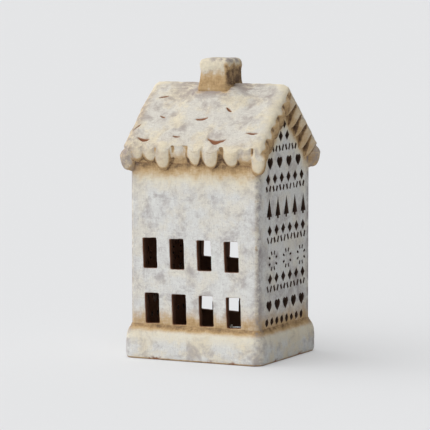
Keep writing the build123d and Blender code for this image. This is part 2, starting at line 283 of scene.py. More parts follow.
def grain(tree, place, size, detail=4.0, roughness=0.6, distortion=0.0):
    """Noise of about 0 to 1 with grains of the given size."""
    names = ("Vector", "Scale", "Detail", "Roughness", "Distortion")
    sockets = dict(zip(names, (place, 1 / size, detail, roughness, distortion)))
    return put_node(tree, "ShaderNodeTexNoise", sockets).outputs[0]


def strokes(tree, place, across, along):
    """The marks of a dry brush: noise of about 0 to 1, drawn out along one direction or two."""
    drawn = vector_step(tree, "MULTIPLY", place, tuple(1 / size for size in (across, across, along)))
    return fade(tree, grain(tree, drawn, 1.0, 5.0, 0.65), 0.42, 0.66)


def new_group(name, kind, inputs, outputs):
    """An empty node group with named sockets."""
    tree = bpy.data.node_groups.new(name, kind)
    for way, sockets in (("INPUT", inputs), ("OUTPUT", outputs)):
        for socket, sort in sockets.items():
            tree.interface.new_socket(socket, in_out=way, socket_type=f"NodeSocket{sort}")
    return tree


def aged_wash():
    """The brushed, rubbed and smoked limewash on all the clay: a colour, and a height for its bump."""
    colours = dict.fromkeys(("Coat", "Rubbed", "Smoke"), "Color")
    masks = dict.fromkeys(("Blotches", "Soot", "Smears", "Stain", "Rub"), "Float")
    tree = new_group("aged_wash", "ShaderNodeTree", colours | masks, {"Color": "Color", "Height": "Float"})
    given = tree.nodes.new("NodeGroupInput").outputs
    place = object_place(tree)
    blotch = fade(tree, grain(tree, place, BLOTCH_SIZE, 5.0, 0.62), 0.44, 0.64)
    cloud = fade(tree, grain(tree, place, CLOUD_SIZE, 8.0, 0.72, 0.3), 0.47, 0.67)
    speck = fade(tree, grain(tree, place, SPECK_SIZE, 3.0, 0.7), 0.56, 0.68)
    upright = strokes(tree, place, 0.8 * MM, 5.0 * MM)
    level = strokes(tree, place, 3.6 * MM, 0.9 * MM)
    hatch = times(tree, sum_up(tree, "ADD", upright, level), 0.5)
    colour = over(tree, times(tree, blotch, given["Blotches"]), given["Coat"], given["Rubbed"])
    colour = over(tree, times(tree, cloud, given["Soot"]), colour, given["Smoke"])
    dust = sum_up(tree, "ADD", times(tree, hatch, 0.54), times(tree, speck, 0.58))
    colour = over(tree, times(tree, dust, given["Soot"]), colour, given["Smoke"])
    creamed = times(tree, given["Rub"], fade(tree, hatch, 1.1, 0.2))
    colour = over(tree, creamed, colour, given["Rubbed"])
    patchy = times(tree, grain(tree, place, PATCH_SIZE, 3.0, 0.58), 0.9)
    patchy = sum_up(tree, "ADD", patchy, times(tree, hatch, 0.30), 0.24)
    stain = times(tree, given["Stain"], patchy)
    colour = over(tree, fade(tree, stain, 0.04, 0.55), colour, OCHRE)
    colour = over(tree, fade(tree, stain, 0.40, 0.90), colour, UMBER)
    colour = over(tree, given["Smears"], colour, given["Smoke"])
    relief = sum_up(tree, "ADD", times(tree, hatch, 0.6), times(tree, speck, 0.4))
    put_node(tree, "NodeGroupOutput", {"Color": colour, "Height": relief})
    return tree


wash_group = aged_wash()


def read_mask(tree, name):
    """A number that the mesh keeps for each point, as a socket."""
    return put_node(tree, "ShaderNodeAttribute", attribute_name=name).outputs["Fac"]


def two_tone(tree, shader, share, under, top):
    """Colours a shader with one colour over another."""
    tree.links.new(over(tree, share, under, top), shader.inputs["Base Color"])


def bumped(tree, shader, height, strength, depth):
    """Roughens a shader by a height."""
    sockets = {"Strength": strength, "Distance": depth, "Height": height}
    tree.links.new(put_node(tree, "ShaderNodeBump", sockets).outputs[0], shader.inputs["Normal"])


def washed(tree, shader, **looks):
    """Gives a shader the aged wash, with red clay where it is bare and candle soot on the inside, deepened
    with painted shade in the reveals.
    """
    sockets = {"Rubbed": CREAM, "Smoke": SMOKE} | looks
    wash = put_node(tree, "ShaderNodeGroup", sockets, node_tree=wash_group).outputs
    clay = fade(tree, grain(tree, object_place(tree), CLAY_GRAIN, 5.0, 0.7), 0.45, 0.95)
    clay = over(tree, clay, RED_CLAY, UMBER)
    clay = over(tree, read_mask(tree, "inside"), clay, SOOT)
    two_tone(tree, shader, read_mask(tree, "bare"), wash["Color"], clay)
    bumped(tree, shader, wash["Height"], 0.35, 0.25 * MM)


def rounded_outline(half_x, half_y, radius, step):
    """Points round a rectangle with round corners, each with its outward direction."""
    points = []
    outward = []
    for turn in range(4):
        quarter = turn * math.pi / 2
        out = Vector((math.cos(quarter), math.sin(quarter)))
        along = Vector((-out.y, out.x))
        half_out, half_along = (half_x, half_y) if turn % 2 == 0 else (half_y, half_x)
        flat = half_along - radius
        for share in np.linspace(-1, 1, int(2 * flat / step), endpoint=False):
            points.append(out * half_out + along * (flat * share))
            outward.append(out)
        centre = out * (half_out - radius) + along * flat
        for angle in np.linspace(0, math.pi / 2, CORNER_STEPS, endpoint=False):
            direction = out * math.cos(angle) + along * math.sin(angle)
            points.append(centre + direction * radius)
            outward.append(direction)
    return np.array(points), np.array(outward)


def resample(section, step):
    """A closed section with its points evenly spaced along it."""
    closed = np.array(section + section[:1])
    travel = np.concatenate([[0], np.cumsum(np.linalg.norm(np.diff(closed, axis=0), axis=1))])
    marks = np.linspace(0, travel[-1], int(travel[-1] / step), endpoint=False)
    return np.stack([np.interp(marks, travel, closed[:, axis]) for axis in (0, 1)], axis=1)


def band_faces(rings, rungs, closed=True):
    """The faces over rings of points that close into a band, where each ring is closed or open."""
    faces = []
    for ring in range(rings):
        here = ring * rungs
        there = (ring + 1) % rings * rungs
        for rung in range(rungs if closed else rungs - 1):
            higher = (rung + 1) % rungs
            faces.append((here + rung, there + rung, there + higher, here + higher))
    return faces


outline, outline_out = rounded_outline(WALL_HALF_X, WALL_HALF_Y, WALL_CORNER, PLINTH_STEP)
section = resample(PLINTH_SECTION, PLINTH_STEP / MM) * MM
around = len(outline)
across = len(section)
plinth_points = np.empty((around, across, 3))
plinth_points[:, :, :2] = outline[:, None, :] + outline_out[:, None, :] * section[None, :, :1]
plinth_points[:, :, 2] = section[None, :, 1]
plinth_points = plinth_points.reshape(-1, 3)
plinth_out = np.repeat(outline_out, across, axis=0)
stand_off = np.tile(section[:, 0], around)
proud = ramp(stand_off, 0.2 * MM, 1.5 * MM) * ramp(plinth_points[:, 2], 0.0, 1.0 * MM)
sway = MM * uneven(plinth_points, PLINTH_WAVES)
foot_edge = ramp(plinth_points[:, 2], 3.4 * MM, 0.6 * MM) * ramp(stand_off, 2.2 * MM, 3.0 * MM)
chips = foot_edge * ramp(uneven(plinth_points, CHIP_WAVES), 0.48, 0.62)
plinth_points[:, :2] += plinth_out * (proud * (sway - PLINTH_INSET) - CHIP_DEPTH * chips)[:, None]
plinth_mesh = bpy.data.meshes.new("plinth_band")
plinth_mesh.from_pydata(plinth_points.tolist(), [], band_faces(around, across))
keep_mask(plinth_mesh, "bare", chips + (plinth_points[:, 2] < 0.2 * MM))
plinth_mesh.shade_smooth()
plinth_band = link_mesh("plinth_band", plinth_mesh)


def near_corner(tree, place):
    """How far a point stands out past the start of the nearest round corner, as a socket."""
    core = (WALL_HALF_X - WALL_CORNER, WALL_HALF_Y - WALL_CORNER, 0)
    inset = vector_step(tree, "SUBTRACT", vector_step(tree, "ABSOLUTE", place), core)
    return reckon(tree, "MINIMUM", axis_of(tree, inset, "X"), axis_of(tree, inset, "Y"))


def dirt(tree, place, amount):
    """Grey dirt that handling leaves along the upright corners, as a socket."""
    side = reckon(tree, "ABSOLUTE", axis_of(tree, place, "X"))
    on_gable = fade(tree, side, WALL_HALF_X - 2.5 * MM, WALL_HALF_X - 0.3 * MM, 1 - FRONT_DIRT)
    share = times(tree, sum_up(tree, "ADD", on_gable, FRONT_DIRT), amount)
    dirty = fade(tree, grain(tree, place, 6 * MM, 7.0, 0.75), 0.42, 0.58)
    return times(tree, dirty, fade(tree, near_corner(tree, place), *CORNER_DIRT), share)


plinth_material, tree, shader = new_material("plinth_whitewash", 0.86, 0.25)
place = object_place(tree)
height = axis_of(tree, place, "Z")
ledge = fade(tree, height, 16.5 * MM, 22.3 * MM, 0.80)
# Dirt and a painted contact shadow darken the foot of the plinth
foot_dirt_and_shade = fade(tree, height, 1.9 * MM, 0.3 * MM, 0.80)
shoulder = fade(tree, height, 9.0 * MM, 17.0 * MM, 0.6)
washed(
    tree, shader, Coat=LIME_WASH, Blotches=0.75, Soot=0.66,
    Stain=most(tree, ledge, foot_dirt_and_shade), Rub=shoulder, Smears=dirt(tree, place, 0.6),
)
plinth_mesh.materials.append(plinth_material)
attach(plinth_band, "house")
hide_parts("plinth_front", "plinth_back", "plinth_right", "plinth_left")

# Long walls: slabs of red clay with two rows of knife-cut windows, luted to the gables at round corners.
# They are limewashed outside over a brown stain and left raw in the reveals and inside.
WALL_VOXEL = 0.53 * MM
WALL_SLAB = 5.0 * MM
CORNER_RETURN = 5.6 * MM
ROOF_SLOPE = math.radians(41.3)
ROOF_PITCH = math.tan(ROOF_SLOPE)
RIDGE_HEIGHT = 183.67 * MM
WASH_SKIN = 0.30 * MM  # how far the wash reaches into the windows
# How dark the window reveals are, with soot and painted shade
REVEAL_SOOT_AND_SHADE = 0.75
WALL_WAVES = ((0.34, 26, 5), (0.10, 7, 6))
SHARP_EDGE = 50  # degrees over which an edge stays sharp
RAGGED = 14 * MM  # how far noise shifts the edge of a stain


def clay_copy(*nodes):
    """One mesh of the named solids, with their loose triangles merged."""
    shape = bmesh.new()
    for node in nodes:
        shape.from_mesh(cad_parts[node].data)
    bmesh.ops.remove_doubles(shape, verts=shape.verts, dist=0.001 * MM)
    mesh = bpy.data.meshes.new(nodes[0])
    shape.to_mesh(mesh)
    shape.free()
    return mesh


def settle(piece):
    """Turns a piece with modifiers into a plain mesh."""
    before = piece.data
    graph = bpy.context.evaluated_depsgraph_get()
    piece.data = bpy.data.meshes.new_from_object(piece.evaluated_get(graph))
    piece.modifiers.clear()
    bpy.data.meshes.remove(before)


def fuse(name, mesh, voxel):
    """One closed skin over everything in a mesh, as wet clay pressed together."""
    piece = link_mesh(name, mesh)
    press = piece.modifiers.new("press", "REMESH")
    press.mode = "VOXEL"
    press.voxel_size = voxel
    settle(piece)
    return piece


def soften(mesh, points, rounds, pull=0.5):
    """Draws each point towards the middle of its neighbours, as a wet sponge does."""
    pairs = np.empty(len(mesh.edges) * 2, np.int32)
    mesh.edges.foreach_get("vertices", pairs)
    first, second = pairs.reshape(-1, 2).T
    number = len(points)
    neighbours = np.bincount(first, minlength=number) + np.bincount(second, minlength=number)
    for _ in range(rounds):
        middle = np.empty_like(points)
        for axis in range(3):
            near = points[:, axis]
            total = np.bincount(first, near[second], number) + np.bincount(second, near[first], number)
            middle[:, axis] = total / neighbours
        points = points + (middle - points) * pull
    return points


def part_at(piece, place, outward):
    """Cuts off what lies beyond a plane and closes the cut."""
    shape = bmesh.new()
    shape.from_mesh(piece.data)
    everything = shape.verts[:] + shape.edges[:] + shape.faces[:]
    bmesh.ops.bisect_plane(shape, geom=everything, plane_co=place, plane_no=outward, clear_outer=True)
    bmesh.ops.holes_fill(shape, edges=[edge for edge in shape.edges if edge.is_boundary])
    shape.to_mesh(piece.data)
    shape.free()


def turned(piece, name):
    """The same piece on the other side of the house, turned half round."""
    mesh = piece.data.copy()
    write_points(mesh, read_points(mesh) * (-1, -1, 1))
    return link_mesh(name, mesh)


def dress(piece, material, sharp):
    """Gives a piece its one material and smooth shading between its sharp edges."""
    piece.data.materials.clear()
    piece.data.materials.append(material)
    piece.data.shade_smooth()
    piece.data.set_sharp_from_angle(angle=math.radians(sharp))


seam_y = WALL_HALF_Y - CORNER_RETURN
front_wall = fuse("front_wall_clay", clay_copy("front_wall", "right_gable", "left_gable"), WALL_VOXEL)
part_at(front_wall, (0, -seam_y, 0), (0, 1, 0))
wall_points = read_points(front_wall.data)
beyond = np.abs(wall_points[:, :2]) - (WALL_HALF_X - WALL_CORNER, WALL_HALF_Y - WALL_CORNER)
depth = WALL_CORNER - np.linalg.norm(np.maximum(beyond, 0), axis=1)
keep_mask(front_wall.data, "bare", ramp(depth, 0.2 * WASH_SKIN, WASH_SKIN))
# The reveals darken towards the inner face with soot and painted shade
reveal = ramp(depth, 0.10 * WALL_SLAB, 0.45 * WALL_SLAB) * ramp(depth, 0.98 * WALL_SLAB, 0.90 * WALL_SLAB)
keep_mask(front_wall.data, "inside", REVEAL_SOOT_AND_SHADE * reveal)
outer = ramp(-wall_points[:, 1], WALL_HALF_Y - 2.0 * MM, WALL_HALF_Y - 0.1 * MM)
inland = ramp(WALL_HALF_X - np.abs(wall_points[:, 0]), 1.0 * MM, 6.0 * MM)
wall_points[:, 1] += outer * inland * MM * uneven(wall_points, WALL_WAVES)
write_points(front_wall.data, wall_points)
back_wall = turned(front_wall, "back_wall_clay")

wall_material, tree, shader = new_material("wall_whitewash", 0.88, 0.22)
place = object_place(tree)
nearest_edge = near_corner(tree, place)
ragged = grain(tree, place, 9 * MM, 5.0, 0.65)
shaken = reckon(tree, "MULTIPLY_ADD", ragged, RAGGED, axis_of(tree, place, "Z"))
reach = reckon(tree, "ABSOLUTE", axis_of(tree, place, "Y"))
climb = reckon(tree, "MULTIPLY_ADD", reach, ROOF_PITCH, shaken)
under_eave = fade(tree, climb, RIDGE_HEIGHT - 25 * MM, RIDGE_HEIGHT - 8 * MM, 0.86)
over_plinth = fade(tree, shaken, 49 * MM, 28 * MM, 0.64)
worn = fade(tree, grain(tree, place, 5 * MM, 6.0, 0.75), 0.54, 0.66)
chipped = times(tree, fade(tree, nearest_edge, 0.2 * MM, 2.2 * MM), worn)
cream_top = fade(tree, climb, RIDGE_HEIGHT - 32 * MM, RIDGE_HEIGHT - 14 * MM, 0.9)
arris = fade(tree, nearest_edge, 0.2 * MM, 1.8 * MM, 0.4)
washed(
    tree, shader, Coat=LIME_WASH, Blotches=0.36, Soot=0.73,
    Stain=most(tree, under_eave, over_plinth, chipped), Rub=most(tree, cream_top, arris),
    Smears=dirt(tree, place, 0.92),
)
for piece, node in ((front_wall, "front_wall"), (back_wall, "back_wall")):
    dress(piece, wall_material, SHARP_EDGE)
    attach(piece, "house")
    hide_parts(node)

# Gables: pierced slabs, with rows of hearts, trees, diamonds, slits and rosettes cut by shaped cutters.
# They stand between the long walls, with the same wash outside and raw clay in every hole.
CUT_EASE = 0.64 * MM
CUT_ANGLE = math.radians(40)  # edges that turn by more than this are eased
ROSETTES = (60.0 * MM, 74.5 * MM)  # heights between which the cuts are finer
ROSETTE_EASE = 0.4  # and the share of the ease there
INNER_SOOT = 0.38  # share of soot on the inner face. The cuts are all dark, with soot and painted shade

right_gable = link_mesh("right_gable_clay", clay_copy("right_gable"))
for end in (-1, 1):
    part_at(right_gable, (0, end * seam_y, 0), (0, end, 0))
shape = bmesh.new()
shape.from_mesh(right_gable.data)
bmesh.ops.dissolve_limit(shape, angle_limit=math.radians(1), verts=shape.verts, edges=shape.edges)
weights = shape.edges.layers.float.new("bevel_weight_edge")
for edge in shape.edges:
    outer = all(vert.co.x > WALL_HALF_X - 0.01 * MM and vert.co.z > MM for vert in edge.verts)
    inland = all(abs(vert.co.y) < seam_y - 0.2 * MM for vert in edge.verts)
    fine = all(ROSETTES[0] < vert.co.z < ROSETTES[1] for vert in edge.verts)
    if outer and inland and edge.calc_face_angle(0.0) > CUT_ANGLE:
        edge[weights] = ROSETTE_EASE if fine else 1.0
shape.to_mesh(right_gable.data)
shape.free()
ease = right_gable.modifiers.new("ease", "BEVEL")
ease.width = CUT_EASE
ease.segments = 2
ease.use_clamp_overlap = False
ease.limit_method = "WEIGHT"
settle(right_gable)

# All of the slab but its outer face is raw clay, dark in the cuts with soot and painted shade
raw = []
soot_and_shade = []
for face in right_gable.data.polygons:
    flat = abs(face.normal.x) > 0.98
    outside = flat and abs(face.center.x) > WALL_HALF_X - CUT_EASE
    count = len(face.vertices)
    raw += [0.0 if outside else 1.0] * count
    soot_and_shade += [INNER_SOOT if flat else 1.0] * count
keep_mask(right_gable.data, "bare", np.array(raw), "CORNER")
keep_mask(right_gable.data, "inside", np.array(soot_and_shade), "CORNER")
left_gable = turned(right_gable, "left_gable_clay")
for piece, node in ((right_gable, "right_gable"), (left_gable, "left_gable")):
    dress(piece, wall_material, SHARP_EDGE)
    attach(piece, "house")
    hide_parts(node)

# Roof and its snow: two slabs that meet under the ridge, with drips pressed on along the eaves and rakes.
# The whole is sponged smooth, scooped with a finger nail, stained brown and rubbed with cream.
ROOF_VOXEL = 0.5 * MM
ROOF_UNDER = 10.65 * MM  # from the roof's top straight down to its underside
EAVE_HEIGHT = 137.0 * MM
EAVE_HALF = 53.2 * MM
# Drips: the place as a share of the way along, the width, the drop and the stand off the wall in mm,
# and the lean to one side in degrees
EAVE_DRIPS = [
    (-0.922, 9.6, 11.6, 5.3, -3), (-0.893, 8.0, 12.5, 4.6, -10), (-0.757, 11.0, 5.4, 4.4, 4),
    (-0.575, 11.6, 5.8, 4.8, -4), (-0.391, 12.6, 11.4, 5.4, 5), (-0.173, 11.5, 4.8, 3.2, 0),
    (0.049, 11.8, 7.4, 5.2, -5), (0.274, 13.2, 8.8, 5.4, 6), (0.558, 13.0, 7.2, 5.2, 3),
    (0.745, 12.0, 5.4, 3.9, 0), (0.893, 8.0, 12.5, 4.6, 10), (0.922, 9.2, 11.6, 5.3, 3),
]
RAKE_DRIPS = [
    (0.107, 8.6, 8.8, 5.6, 2), (0.302, 9.0, 10.6, 5.7, -3), (0.502, 8.6, 9.4, 5.5, 3),
    (0.702, 9.2, 11.4, 5.7, -2), (0.898, 8.8, 9.8, 5.6, 3), (1.03, 7.0, 6.0, 5.0, 0),
]
EAVE_BELLY = 4.0 * MM  # half the thickness of a drip
RAKE_BELLY = 3.4 * MM
EAVE_LEAN = math.radians(6)
RAKE_LEAN = math.radians(15)
RAKE_SLANT = math.radians(28)  # the rake's drips slant in, towards the middle of the gable
EAVE_MIDDLE = 7.8 * MM  # how far under the roof's top the drips are widest
CORNER_MIDDLE = 11.4 * MM
CORNER_SHARE = 0.85  # drips further out than this share make up the corner's bag
RAKE_MIDDLE = 8.8 * MM
DRIP_TOP = 0.50  # their height above that, as a share of their height below it
DRIP_FINENESS = 4
# Folds under the drips: out from the wall and height, or out from the wall and depth under the roof, in mm
EAVE_FOLD = [
    (-1.0, 130.6), (0.0, 130.6), (0.3, 133.0), (0.6, 135.2), (1.2, 137.2), (2.0, 139.2), (2.8, 141.0),
    (3.1, 142.4), (2.8, 143.6), (2.0, 144.8), (1.0, 145.9), (0.0, 146.7), (-1.0, 147.4),
]
RAKE_FOLD = [
    (-1.0, 0.5), (3.0, 0.5), (3.7, 1.6), (3.5, 3.5), (3.0, 5.5), (2.5, 7.5), (2.0, 9.5), (1.5, 12.0),
    (0.9, 14.2), (0.3, 15.8), (-1.0, 16.4),
]
EAVE_FOLD_END = 50.5 * MM
RAKE_FOLD_END = 41.0 * MM
ROOF_SPONGE = 11  # rounds of sponging
SNOW_SHARP = 60


def drip_tree():
    """Plants one egg of snow on each point, blunt on top, with the size and turn that the point carries."""
    inputs = {"Points": "Geometry", "Fineness": "Int", "Top": "Float", "Finish": "Material"}
    tree = new_group("snow_drips", "GeometryNodeTree", inputs, {"Drips": "Geometry"})
    given = tree.nodes.new("NodeGroupInput").outputs
    egg = put_node(tree, "GeometryNodeMeshIcoSphere", {"Radius": 1.0, "Subdivisions": given["Fineness"]})
    spot = tree.nodes.new("GeometryNodeInputPosition").outputs[0]
    spot = put_node(tree, "ShaderNodeSeparateXYZ", {0: spot}).outputs
    blunt = reckon(tree, "MULTIPLY_ADD", spot["Z"], spot["Z"], 2.0)
    blunt = reckon(tree, "SQRT", reckon(tree, "MULTIPLY", blunt, 0.5))
    upper = reckon(tree, "MAXIMUM", spot["Z"], 0.0)
    lower = reckon(tree, "MINIMUM", spot["Z"], 0.0)
    height = reckon(tree, "MULTIPLY_ADD", upper, given["Top"], lower)
    across = reckon(tree, "MULTIPLY", spot["X"], blunt)
    out = reckon(tree, "MULTIPLY", spot["Y"], blunt)
    fuller = put_node(tree, "ShaderNodeCombineXYZ", {"X": across, "Y": out, "Z": height}).outputs[0]
    egg = put_node(tree, "GeometryNodeSetPosition", {"Geometry": egg.outputs["Mesh"], "Position": fuller})
    size = put_node(tree, "GeometryNodeInputNamedAttribute", {"Name": "size"}, data_type="FLOAT_VECTOR")
    turn = put_node(tree, "GeometryNodeInputNamedAttribute", {"Name": "turn"}, data_type="FLOAT_VECTOR")
    spin = put_node(tree, "FunctionNodeEulerToRotation", {0: turn.outputs[0]})
    spots = put_node(tree, "GeometryNodeMeshToPoints", {"Mesh": given["Points"]})
    sockets = {
        "Points": spots.outputs[0],
        "Instance": egg.outputs[0],
        "Rotation": spin.outputs[0],
        "Scale": size.outputs[0],
    }
    planted = put_node(tree, "GeometryNodeInstanceOnPoints", sockets)
    real = put_node(tree, "GeometryNodeRealizeInstances", {0: planted.outputs[0]})
    coated = put_node(tree, "GeometryNodeSetMaterial", {0: real.outputs[0], "Material": given["Finish"]})
    put_node(tree, "NodeGroupOutput", {"Drips": coated.outputs[0]})
    return tree


def run_tree(piece, tree, **values):
    """Runs a node tree on a piece with its named inputs, and leaves a plain mesh."""
    grow = piece.modifiers.new(tree.name, "NODES")
    grow.node_group = tree
    for socket in tree.interface.items_tree:
        if socket.in_out == "INPUT" and socket.name in values:
            grow[socket.identifier] = values[socket.name]
    settle(piece)


snow_material, snow_tree, snow_shader = new_material("snow_wash", 0.84, 0.25)
eave_top = RIDGE_HEIGHT - WALL_HALF_Y * ROOF_PITCH
drip_places = []
drip_sizes = []
drip_turns = []
for side in (-1, 1):
    for share, width, drop, stand, lean in EAVE_DRIPS:
        middle = eave_top - (CORNER_MIDDLE if abs(share) > CORNER_SHARE else EAVE_MIDDLE)
        reach = WALL_HALF_Y + stand * MM - EAVE_BELLY
        drip_places.append((-share * side * EAVE_HALF, side * reach, middle))
        drip_sizes.append((width * MM / 2, EAVE_BELLY, middle - EAVE_HEIGHT + drop * MM))
        drip_turns.append((-side * EAVE_LEAN, -side * math.radians(lean), 0))
    for way in (-1, 1):
        for share, width, drop, stand, lean in RAKE_DRIPS:
            reach = share * WALL_HALF_Y
            middle = RIDGE_HEIGHT - reach * ROOF_PITCH - RAKE_MIDDLE
            drip_places.append((side * (WALL_HALF_X + stand * MM - RAKE_BELLY), way * reach, middle))
            drip_sizes.append((RAKE_BELLY, width * MM / 2, ROOF_UNDER - RAKE_MIDDLE + drop * MM))
            drip_turns.append((-way * (RAKE_SLANT + math.radians(lean)), side * RAKE_LEAN, 0))
spots = bpy.data.meshes.new("drip_spots")
spots.from_pydata(drip_places, [], [])
for name, rows in (("size", drip_sizes), ("turn", drip_turns)):
    layer = spots.attributes.new(name, "FLOAT_VECTOR", "POINT")
    layer.data.foreach_set("vector", np.array(rows, np.float32).ravel())
drips = link_mesh("drips", spots)
run_tree(drips, drip_tree(), Fineness=DRIP_FINENESS, Top=DRIP_TOP, Finish=snow_material)


def bar(*rings):
    """A closed bar through rings of points."""
    count = len(rings[0])
    last = count * (len(rings) - 1)
    faces = []
    for start in range(0, last, count):
        for turn in range(count):
            after = (turn + 1) % count
            faces.append((start + turn, start + after, start + count + after, start + count + turn))
    faces += [tuple(range(count))[::-1], tuple(range(last, last + count))]
    mesh = bpy.data.meshes.new("bar")
    mesh.from_pydata(sum(rings, []), [], faces)
    return mesh


layers = [clay_copy("roof_front", "roof_back"), drips.data]
for side in (-1, 1):
    rings = []
    for end in (-EAVE_FOLD_END, EAVE_FOLD_END):
        rings.append([(end, side * (WALL_HALF_Y + out * MM), height * MM) for out, height in EAVE_FOLD])
    layers.append(bar(*rings))
    for way in (-1, 1):
        rings = []
        for reach in (0.0, RAKE_FOLD_END):
            top = RIDGE_HEIGHT - reach * ROOF_PITCH
            ring = []
            for out, depth in RAKE_FOLD:
                ring.append((side * (WALL_HALF_X + out * MM), way * reach, top - depth * MM))
            rings.append(ring)
        layers.append(bar(*rings))
heap = bmesh.new()
for mesh in layers:
    heap.from_mesh(mesh)
bmesh.ops.recalc_face_normals(heap, faces=heap.faces)
roof_mesh = bpy.data.meshes.new("roof_snow")
heap.to_mesh(roof_mesh)
heap.free()
bpy.data.objects.remove(drips)
roof = fuse("roof_snow", roof_mesh, ROOF_VOXEL)
points = read_points(roof.data)
sunk = RIDGE_HEIGHT - np.abs(points[:, 1]) * ROOF_PITCH - points[:, 2]
eave_sunk = eave_top - points[:, 2]

# A soft mound of snow leans on the chimney's foot
MOUND_RISE = 5.2 * MM
MOUND_REACH = 19.0 * MM
chimney_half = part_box("chimney")[1]
beside = np.maximum(np.abs(points[:, 0]) - chimney_half.x, 0)
before = np.abs(points[:, 1])
swell = ramp(before, 2 * MM, 10 * MM) * ramp(before, chimney_half.y + MOUND_REACH, chimney_half.y)
swell *= ramp(beside, MOUND_REACH, 1 * MM)
topside = (sunk < 0.5 * ROOF_UNDER) & (np.abs(points[:, 0]) < WALL_HALF_X)
mounded = np.maximum(points[:, 2], points[:, 2] + sunk + MOUND_RISE * swell)
points[:, 2] = np.where(topside, mounded, points[:, 2])
points = soften(roof.data, points, ROOF_SPONGE)

# The ends and eaves of the roof roll over, and its top is lumpy
END_ROLL = 43.8 * MM
EAVE_ROLL = 38.5 * MM
ROLL_RADIUS = 10.0 * MM
SNOW_WAVES = ((0.50, 13, 7), (0.32, 5, 8), (0.12, 2.2, 9))
under = RIDGE_HEIGHT - ROOF_UNDER - np.abs(points[:, 1]) * ROOF_PITCH
lift = ramp(points[:, 2] - under, 0.0, ROOF_UNDER)
for axis, start in ((0, END_ROLL), (1, EAVE_ROLL)):
    past = np.clip(np.abs(points[:, axis]) - start, 0, 0.98 * ROLL_RADIUS)
    points[:, 2] -= lift * (ROLL_RADIUS - np.sqrt(ROLL_RADIUS**2 - past**2))
write_points(roof.data, points)
normals = read_normals(roof.data)
sway = uneven(points, SNOW_WAVES)
points += normals * (sway * MM * ramp(points[:, 2] - under, 1.0 * MM, 4.0 * MM))[:, None]

# Finger nail scoops on both slopes, deepest along their lower lip
SCOOP_DEPTH = 1.2 * MM
# Along the ridge, down the slope and width in mm, tilt in degrees, and sag as a share of the width
SCOOPS = [
    (-36.7, 16.0, 7.8, 14, 0.08), (-30.1, 34.9, 5.6, -22, 0.16), (-0.9, 35.2, 10.0, 6, 0.18),
    (16.4, 27.9, 6.0, -25, 0.16), (-45.7, 45.0, 7.5, 55, 0.10), (-36.8, 54.6, 10.5, -4, 0.18),
    (-13.3, 52.6, 6.4, -6, 0.14), (16.8, 52.4, 15.5, -2, 0.30), (40.2, 47.1, 10.2, 8, 0.12),
]
scooped = np.zeros(len(points))
for side in (-1, 1):
    for along, down, width, tilt, sag in SCOOPS:
        across = points[:, 0] * -side - along * MM
        upward = down * MM - points[:, 1] * side / math.cos(ROOF_SLOPE)
        lean = math.radians(tilt)
        first = across * math.cos(lean) + upward * math.sin(lean)
        second = upward * math.cos(lean) - across * math.sin(lean)
        share = np.clip(2 * first / (width * MM), -1, 1)
        lip = second + sag * width * MM * (1 - share**2)
        heel = (0.17 * width + 0.7) * MM * (1 - share**2) + 0.1 * MM
        bite = ramp(lip, -0.35 * MM, 0.15 * MM) * ramp(lip, heel, 0.3 * heel) * (1 - share**4)
        bite *= (points[:, 1] * side > 2 * MM) & (points[:, 2] > under + 0.5 * ROOF_UNDER)
        scooped = np.maximum(scooped, bite)
points -= normals * (SCOOP_DEPTH * scooped)[:, None]


def beside_drips(places, along, depth):
    """The dark lines at the flanks of the drips, of stain and painted shade: 1 at the edge of the nearest
    one, 0 on its middle.
    """
    shares = []
    for middle, half, weight, widest, tip in places:
        taper = np.sqrt(1 - np.clip((depth - widest) / (tip - widest), 0, 0.97) ** 2)
        shares.append(np.abs(along - middle) / (half * taper))
    share = np.min(shares, axis=0)
    weights = np.array([place[2] for place in places])
    return weights[np.argmin(shares, axis=0)] * ramp(share, 0.74, 1.0) * ramp(share, 1.9, 1.2)


# Hollows hold the brown stain, the drips' flanks also hold painted shade, and high places are rubbed pale
NEAR_ROUNDS = 40  # of smoothing, against which small hollows show
FAR_ROUNDS = 160  # and large ones
FLANK_SHIFT = 0.9 * MM  # the stain and painted shade lie thicker on one flank of the drips
CORNER_FLANK = 0.3  # strength of the flanks' stain and painted shade at the corners
LAST_FLANK = 0.2  # on the last drip of each rake
RAKE_FLANK = 0.94  # and on the others there
points[:, :2] = np.clip(points[:, :2], solid_box[0].xy, solid_box[1].xy)
near_smooth = soften(roof.data, points, NEAR_ROUNDS)
far_smooth = soften(roof.data, near_smooth, FAR_ROUNDS)
write_points(roof.data, points)
normals = read_normals(roof.data)
near_hollow = np.einsum("ij,ij->i", near_smooth - points, normals)
far_hollow = np.einsum("ij,ij->i", far_smooth - points, normals)
eave_flanks = []
for share, width, drop, stand, lean in EAVE_DRIPS:
    tip = eave_top - EAVE_HEIGHT + drop * MM
    middle = share * EAVE_HALF - FLANK_SHIFT
    weight = CORNER_FLANK if abs(share) > CORNER_SHARE else ramp(stand, 1.5, 4.8)
    eave_flanks.append((middle, width * MM / 2, weight, EAVE_MIDDLE, tip))
rake_flanks = []
slanted = math.cos(RAKE_SLANT) + math.sin(RAKE_SLANT) * ROOF_PITCH
for share, width, drop, stand, lean in RAKE_DRIPS:
    tip = RAKE_MIDDLE + (ROOF_UNDER - RAKE_MIDDLE + drop * MM) * slanted
    weight = LAST_FLANK if share > 1 else 1.0
    rake_flanks.append((share * WALL_HALF_Y, width * MM / 2 / slanted, weight, RAKE_MIDDLE, tip))
off_ridge = np.abs(points[:, 1])
past_wall = off_ridge - WALL_HALF_Y
past_gable = np.abs(points[:, 0]) - WALL_HALF_X
on_eave = ramp(past_wall, -0.8 * MM, -0.2 * MM) * ramp(eave_sunk, 6.5 * MM, 9.5 * MM)
